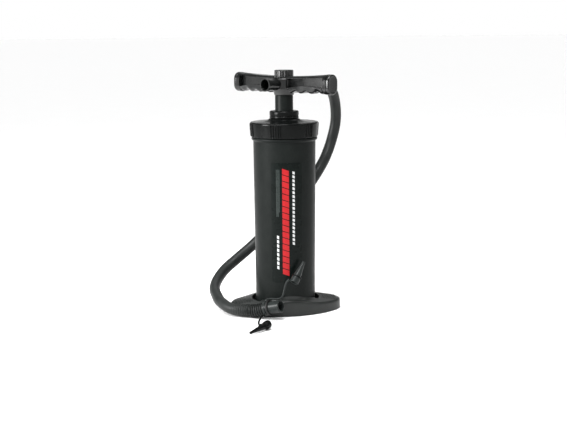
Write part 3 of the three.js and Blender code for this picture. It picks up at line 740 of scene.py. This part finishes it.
def film():
    """The label's film, with round corners."""
    corner = 4.0
    columns, rows = 48, 60
    half = LABEL_SPAN / 2
    vertices = []
    for j in range(rows + 1):
        z = LABEL_LOW + (LABEL_HIGH - LABEL_LOW) * smoothstep(j / rows)
        up = min(z - LABEL_LOW, LABEL_HIGH - z)
        inset = corner - math.sqrt(max(corner ** 2 - max(corner - up, 0) ** 2, 0))
        width = half - math.degrees(inset / barrel_radius(z))
        for i in range(columns + 1):
            a = math.radians(LABEL_MIDDLE + width * (2 * i / columns - 1))
            r = barrel_radius(z) + FILM_LIFT
            vertices.append((r * math.cos(a), r * math.sin(a), z))
    wide = columns + 1
    faces = [[j * wide + i, j * wide + i + 1, (j + 1) * wide + i + 1, (j + 1) * wide + i]
             for j in range(rows) for i in range(columns)]
    return thickened(make("label_sheet", vertices, faces), FILM_THICKNESS)


def printed(name, bars):
    """Flat bars printed on the label. Each is (lowest, highest angle from the camera's side, lowest,
    highest z, slant in mm)."""
    vertices = []
    faces = []
    steps = 6
    for left, right, low, high, slant in bars:
        first = len(vertices)
        for j in range(2):
            for i in range(steps + 1):
                t = i / steps
                a = math.radians(PRINT_MIDDLE + left + (right - left) * t)
                z = (high if j else low) + slant * (t - 0.5)
                r = barrel_radius(z) + PRINT_LIFT
                vertices.append((r * math.cos(a), r * math.sin(a), z))
        row = steps + 1
        faces += [[first + i, first + i + 1, first + row + i + 1, first + row + i]
                  for i in range(steps)]
    return thickened(make(name, vertices, faces), PRINT_THICKNESS)


def dashes(left, right, low, high, count, gap, slant):
    """A column of equal bars."""
    pitch = (high - low + gap) / count
    return [(left, right, low + i * pitch, low + (i + 1) * pitch - gap, slant) for i in range(count)]


place(film(), FILM, "label_film", "barrel", "label_panel")
place(printed("label_red_bars", dashes(-4.6, 7.6, 64, 224, 17, 1.2, -3.4)), RED_INK, "label_film", "barrel")
white_bars = dashes(14.2, 18.4, 110, 221, 19, 2.0, -1.2) + dashes(-15.0, -11.2, 73, 124, 8, 2.0, -1.2)
place(printed("label_white_bars", white_bars), WHITE_INK, "label_film", "barrel")
thin_lines = [(a, a + 0.55, 153, 224, 0) for a in (-15.6, -13.8, -12.0)] + [(-10.2, -9.65, 160, 224, 0)]
place(printed("label_thin_lines", thin_lines), GREY_INK, "label_film", "barrel")

# ------------------------------------------------------------------ cap and collar

CAP_LOW, CAP_RIM, CAP_CROWN, CAP_NECK = 270, 292, 297, 304


def cap():
    """The screw cap, with grip ribs in groups round its skirt."""
    groups, per_group, pitch, first = 6, 5, 4.1, 5  # pitch and first in degrees
    skirt, width, rise = 52, 1.5, 1.2
    half_group = 180 / groups

    def rib_at(angle):
        turn = (math.degrees(angle) - first + half_group) % (360 / groups) - half_group
        nearest = min(max(round(turn / pitch), -(per_group // 2)), per_group // 2) * pitch
        apart = abs(turn - nearest) * math.radians(1) * skirt
        return rise * smoothstep((width / 2 + 0.35 - apart) / 0.7)

    def profile_at(angle):
        rib = rib_at(angle)
        return rounded([
            (16.9, 286), (21.5, 286), (23.5, 289.1), (46.3, 289.1), (48.6, 287.5), (48.6, CAP_LOW),
            (50.3, CAP_LOW), (50.5 + rib * 0.4, CAP_LOW + 0.7), (50.6 + rib, CAP_LOW + 1.6),
            (51.9 + rib, CAP_RIM - 2.4), (51.7 + rib * 0.3, CAP_RIM - 0.9), (51.0, CAP_RIM),
            (47.5, CAP_RIM + 0.5), (47.2, CAP_RIM + 0.2), (32, 293.4), (25.5, 294.6),
            (22.5, CAP_CROWN), (19.3, CAP_CROWN), (19.3, CAP_NECK), (16.9, CAP_NECK), (16.9, 286),
        ], 0.6, 3)

    return shade(lofted("screw_cap", profile_at, 900))


place(cap(), GLOSS, "black_plastic", "barrel", "cap")
place(turned("neck_collar", [
    (19.7, 297.4), (21.6, 297.4), (22.2, 298), (22.2, 300.2), (21.8, 300.6), (21.8, 301.4),
    (22.2, 301.8), (22.2, 307.4), (20.7, 309), (15.2, 309), (14.3, 308.2), (14.3, 306.4),
    (19.7, 306.4), (19.7, 297.4),
], 128, 0.5), GLOSS, "black_plastic", "barrel", "collar")
place(turned("wiper_lip", [
    (13.78, 304.5), (19, 304.5), (19, 306), (15.0, 306), (13.9, 306.9), (13.78, 306.9), (13.78, 304.5),
], 96, 0.2), RUBBER, "black_rubber", "swivel", "shaft_wiper")

# ------------------------------------------------------------------ handle

YAW = Matrix.Rotation(math.radians(-54), 4, "Z")  # from the handle's own X axis to where it points
HANDLE_TOP, HANDLE_MIDDLE, HANDLE_LOW = 365.2, 350.2, 335.2
HANDLE_HALF, HANDLE_WIDTH = 99, 21
HANDLE_DIP = 4.2  # of the top edge, from the ends to the hub
WEB_HALF = 3.0    # half the thickness of what is left between the hollows in an arm's two faces
ARM_END = HANDLE_HALF - 6.2
HUB_LOW, HUB_RADIUS, HUB_HIGH = 332.5, 17.5, 358
PORT_MOUTH, PORT_AXIS = 41, 349
PORT_RADIUS, PORT_LIP, PORT_BORE, AIR_BORE = 8.9, 10, 8.3, 6.5
PEG_RADIUS, PEG_FROM = 4, 89.5  # the end caps' pegs
UPRIGHT = Matrix(((1, 0, 0, 0), (0, 0, -1, 0), (0, 1, 0, 0), (0, 0, 0, 1)))  # (x, y, z) to (x, -z, y)


def grip_line(x):
    """The height of an arm's under edge, with a ridge between each two fingers."""
    s = abs(x)
    ridge, pitch, by_hub = 42, 20, 341
    ridges = HANDLE_LOW + 2.4 - 1.5 * math.cos((s - ridge) / pitch * 2 * math.pi)
    if s < 22:
        return by_hub + (ridges - by_hub) * smoothstep((s - 19) / 3)
    return ridges + (HANDLE_LOW - ridges) * smoothstep((s - 85) / 3)


def top_line(x):
    """The height of an arm's top edge, which dips towards the hub."""
    return HANDLE_TOP - HANDLE_DIP * (1 - (x / ARM_END) ** 2)


def arms():
    """Both arms, as sections lofted along the handle. Their corners get rounder towards the ends."""
    stations, per_corner = 300, 7
    half = HANDLE_WIDTH / 2
    vertices = []
    for i in range(stations + 1):
        x = -ARM_END + 2 * ARM_END * i / stations
        corner = 3.2 + 6.6 * smoothstep((abs(x) - 45) / 42)
        low, high = grip_line(x), top_line(x)
        for k, (y, z) in enumerate(((half, low), (half, high), (-half, high), (-half, low))):
            middle_y = y - math.copysign(corner, y)
            middle_z = z + corner if z == low else z - corner
            for n in range(per_corner):
                angle = math.pi / 2 * (k - 1 + n / (per_corner - 1))
                vertices.append((x, middle_y + corner * math.cos(angle), middle_z + corner * math.sin(angle)))
    ring = 4 * per_corner
    faces = []
    for i in range(stations):
        for k in range(ring):
            n = (k + 1) % ring
            faces.append([i * ring + k, i * ring + n, (i + 1) * ring + n, (i + 1) * ring + k])
    faces.append(list(reversed(range(ring))))
    faces.append(list(range(stations * ring, (stations + 1) * ring)))
    return faced_out(make("handle_arms", vertices, faces, YAW))


def recess_outline(side):
    """The outline, along an arm and upwards, of the hollow in its face."""
    near, far, sill, arch, flange = 15, 87, 343, 4, 3.6
    steps = 24
    low, high = [], []
    for i in range(steps + 1):
        t = i / steps
        x = near + (far - near) * t
        low.append((side * x, sill + arch * (1 - (2 * t - 1) ** 2)))
        high.append((side * x, top_line(x) - flange))
    outline = low + high[::-1]
    corners = rounded(outline + [outline[0]], 2.0, 4)[:-1]
    return corners if side > 0 else corners[::-1]


def port_rod(radius, low, high):
    """A rod along the ports' axis, low and high along the handle's own Y."""
    sideways = Matrix.Translation((0, 0, PORT_AXIS)) @ Matrix.Rotation(-math.pi / 2, 4, "X")
    return rod(radius, low, high, placed=YAW @ sideways, segments=64)


def handle():
    """Both arms, the hub with its bores, and the two ports."""
    upright = YAW @ UPRIGHT
    hub = turned("tool", [
        (0, HUB_LOW), (14.9, HUB_LOW), (15.1, HUB_LOW + 2), (16, HUB_LOW + 5), (HUB_RADIUS, HUB_LOW + 8.5),
        (HUB_RADIUS, HUB_HIGH - 1.2), (HUB_RADIUS - 1.2, HUB_HIGH), (0, HUB_HIGH),
    ], 96, 1.0, YAW)
    recesses = []
    for face in (-1, 1):
        for side in (-1, 1):
            low, high = sorted((face * WEB_HALF, face * 15.0))
            recesses.append(prism("tool", recess_outline(side), low, high, upright))
    bars = cut(arms(), *recesses)
    ports = [port_rod(PORT_RADIUS, *sorted((side * 10, side * PORT_MOUTH))) for side in (-1, 1)]
    rims = [port_rod(PORT_LIP, *sorted((side * (PORT_MOUTH - 4), side * PORT_MOUTH)))
            for side in (-1, 1)]
    whole = joined(bars, hub, *ports, *rims)
    bores = [
        rod(14.15, HUB_LOW - 1, 341, placed=YAW, segments=64),
        rod(13.2, 340.9, 355.6, placed=YAW, segments=64),
        rod(9, 355, HUB_HIGH + 1, placed=YAW),
        rod(15.5, HUB_HIGH, HANDLE_TOP, placed=YAW, segments=64),
        port_rod(AIR_BORE, -20, 20),
        port_rod(PORT_BORE, 18, PORT_MOUTH + 1),
        port_rod(PORT_BORE, -PORT_MOUTH - 1, -18),
    ]
    for side in (-1, 1):
        across = Matrix.Translation((0, 0, HANDLE_MIDDLE)) @ Matrix.Rotation(math.pi / 2, 4, "Y")
        reach = sorted((side * (PEG_FROM - 0.5), side * (ARM_END + 1)))
        bores.append(rod(PEG_RADIUS + 0.3, *reach, placed=YAW @ across))
    return softened(cut(whole, *bores), 1.1, 4, 40)


def stadium(half_width, half_height, count=24):
    """An upright oval outline in (y, z)."""
    rise = half_height - half_width
    turns = [math.pi * i / count for i in range(count + 1)]
    top = [(half_width * math.cos(a), rise + half_width * math.sin(a)) for a in turns]
    return top + [(-y, -z) for y, z in top]


def end_cap(name, side):
    """An oval cap, with a shallow dish in its face and a peg behind it."""
    half_width, half_height = HANDLE_WIDTH / 2 + 0.2, (HANDLE_TOP - HANDLE_LOW) / 2
    # Each section is (how far out along the arm, how far in from the cap's edge).
    depths = [(0.3, 0.5), (0.7, 0.1), (1.2, 0), (4.4, 0), (5.3, 0.25), (5.9, 0.8), (6.2, 1.6),
              (6.2, 2.8), (5.9, 3.3), (5.8, 4.0)]
    vertices = []
    faces = []
    rings = [stadium(half_width - inset, half_height - inset) for _, inset in depths]
    n = len(rings[0])
    for (depth, _), outline in zip(depths, rings):
        vertices += [(ARM_END + depth, y, HANDLE_MIDDLE + z) for y, z in outline]
    for j in range(len(depths) - 1):
        faces += [[j * n + i, j * n + (i + 1) % n, (j + 1) * n + (i + 1) % n, (j + 1) * n + i]
                  for i in range(n)]
    faces.append(list(reversed(range(n))))
    last = (len(depths) - 1) * n
    faces.append(list(range(last, last + n)))
    placed = YAW if side > 0 else YAW @ Matrix.Rotation(math.pi, 4, "Z")
    cap_piece = make(name, vertices, faces, placed)
    across = Matrix.Translation((0, 0, HANDLE_MIDDLE)) @ Matrix.Rotation(math.pi / 2, 4, "Y")
    return shade(joined(cap_piece, rod(PEG_RADIUS, PEG_FROM, ARM_END + 1, placed=placed @ across)))


def knob():
    """A ribbed knob with a dished top."""
    ribs = 20

    def profile_at(angle):
        groove = 0.75 * smoothstep(1 - abs((math.degrees(angle) % (360 / ribs)) - 180 / ribs) / 4.0)
        outer = 14.5 - groove
        return rounded([
            (0, 356.1), (8.7, 356.1), (8.7, 358.3), (outer - 0.5, 358.3), (outer, 358.9), (outer, 368.9),
            (outer - 0.5 + groove * 0.4, 369.7), (13.2, 370), (11.6, 370), (11.0, 369.4), (0, 369.2),
        ], 0.5, 3)

    return shade(lofted("top_knob", profile_at, 480, YAW))


def hose_cuff():
    """The sleeve that carries the hose on the rear port."""
    sideways = Matrix.Translation((0, 0, PORT_AXIS)) @ Matrix.Rotation(-math.pi / 2, 4, "X")
    return turned("port_sleeve", [
        (5, 21), (7.6, 21), (8, 22), (8, 41.3), (10.4, 41.3), (10.4, 44), (9.9, 44.6), (9.75, 49),
        (10.05, 49.3), (10.05, 50.1), (9.7, 50.4), (9.6, 52.4), (9.9, 52.7), (9.9, 53.5),
        (9.5, 53.8), (9.2, 59.4), (8.8, 60), (5, 60), (5, 21),
    ], 96, 0.35, YAW @ sideways)


place(handle(), BRIGHT, "black_plastic", "plunger", "handle")
place(end_cap("end_cap_right", 1), BRIGHT, "black_plastic", "plunger", "handle_end_right")
place(end_cap("end_cap_left", -1), BRIGHT, "black_plastic", "plunger", "handle_end_left")
place(knob(), BRIGHT, "black_plastic", "knob", "knob")
place(hose_cuff(), SATIN, "barrel_plastic", "plunger", "hose_cuff")
place(turned("piston_rod", [
    (11.9, 34.3), (13.65, 34.3), (13.65, 340.7), (11.9, 340.7), (11.9, 34.3),
], 96, 0.3), SATIN, "black_plastic", "plunger", "shaft_tube")

# ------------------------------------------------------------------ pieces kept from the CAD model

# The parts inside the pump keep their CAD shapes. Only their materials and shading are set here.
KEPT_SHARP = 35.0
KEPT = {
    "black_rubber": (RUBBER, [
        "cap_seal", "shaft_seal", "upper_buffer", "lower_buffer", "piston_ring", "elbow_seal",
        "intake_valve_upper", "intake_valve_lower", "delivery_valve_upper", "delivery_valve_lower",
    ]),
    "inner_plastic": (WHITE, [
        "shaft_bush", "piston_body", "piston_cover", "delivery_tube", "delivery_elbow",
    ]),
    "screw_steel": (STEEL, [f"piston_screw_{i}" for i in range(1, 5)]),
}
for look, names in KEPT.values():
    for name in names:
        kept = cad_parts[name]
        kept.data.materials.clear()
        kept.data.materials.append(look)
        shade(kept, KEPT_SHARP)

# ------------------------------------------------------------------ floor and light

FLOOR_HALF = 60.0  # metres, so that its edge can't be seen
AIM = Vector((0, 0, 0.18))
SUN_DISTANCE = 3.0


def floor():
    """The white floor that the pump stands on."""
    made = bpy.data.materials.new("floor")
    made.use_nodes = True
    shader = made.node_tree.nodes["Principled BSDF"]
    shader.inputs["Roughness"].default_value = 0.75
    shader.inputs["Specular IOR Level"].default_value = 0.2
    blend = node(made.node_tree, "ShaderNodeMix", data_type="RGBA")
    blend.inputs["A"].default_value = (0.90, 0.90, 0.90, 1)
    blend.inputs["B"].default_value = (0.92, 0.92, 0.92, 1)
    made.node_tree.links.new(noise(made.node_tree, 6.0), blend.inputs["Factor"])
    made.node_tree.links.new(blend.outputs["Result"], shader.inputs["Base Color"])
    corners = [(x * FLOOR_HALF, y * FLOOR_HALF, 0) for x, y in ((-1, -1), (1, -1), (1, 1), (-1, 1))]
    mesh = bpy.data.meshes.new("floor")
    mesh.from_pydata(corners, [], [(0, 1, 2, 3)])
    mesh.materials.append(made)
    obj = bpy.data.objects.new("floor", mesh)
    bpy.context.scene.collection.objects.link(obj)


def aimed(light, azimuth, elevation, distance):
    """Places a light on the given side, facing the middle of the pump."""
    obj = bpy.data.objects.new(light.name, light)
    a, e = math.radians(azimuth), math.radians(elevation)
    away = Vector((math.sin(a) * math.cos(e), -math.cos(a) * math.cos(e), math.sin(e)))
    obj.location = AIM + away * distance
    obj.rotation_euler = away.to_track_quat("Z", "Y").to_euler()
    bpy.context.scene.collection.objects.link(obj)


def sun(name, azimuth, elevation, spread_degrees, strength):
    """Soft daylight from one side. The wider it is spread, the softer its shadows are."""
    light = bpy.data.lights.new(name, "SUN")
    light.energy = strength
    light.angle = math.radians(spread_degrees)
    aimed(light, azimuth, elevation, SUN_DISTANCE)


def area_light(name, azimuth, elevation, distance, size, power):
    """A square lamp, for the highlights on the glossy pieces."""
    light = bpy.data.lights.new(name, "AREA")
    light.energy = power
    light.size = size
    aimed(light, azimuth, elevation, distance)


def sky():
    """A pale studio, white round the horizon and greyer above."""
    world = bpy.data.worlds.new("studio")
    world.use_nodes = True
    tree = world.node_tree
    background = tree.nodes["Background"]
    direction = node(tree, "ShaderNodeTexCoord")
    split = node(tree, "ShaderNodeSeparateXYZ")
    tree.links.new(direction.outputs["Generated"], split.inputs[0])
    height = node(tree, "ShaderNodeMath", operation="ABSOLUTE")
    tree.links.new(split.outputs["Z"], height.inputs[0])
    tree.links.new(spread(tree, height.outputs[0], 1.0, 0.2, 0.10, 0.22), background.inputs["Strength"])
    background.inputs["Color"].default_value = (1, 1, 1, 1)
    bpy.context.scene.world = world


floor()
sky()
# Sides are in degrees round from the front, and heights in degrees above level.
sun("key", -58, 48, 30, 2.0)
sun("top", 25, 75, 60, 0.95)
sun("back", 160, 50, 50, 0.5)
area_light("strip", -76, 14, 1.3, 0.5, 27)
area_light("fill", 58, 28, 1.5, 0.3, 4)
area_light("overhead", -15, 66, 1.2, 0.4, 14)
bpy.context.scene.view_settings.view_transform = "Standard"
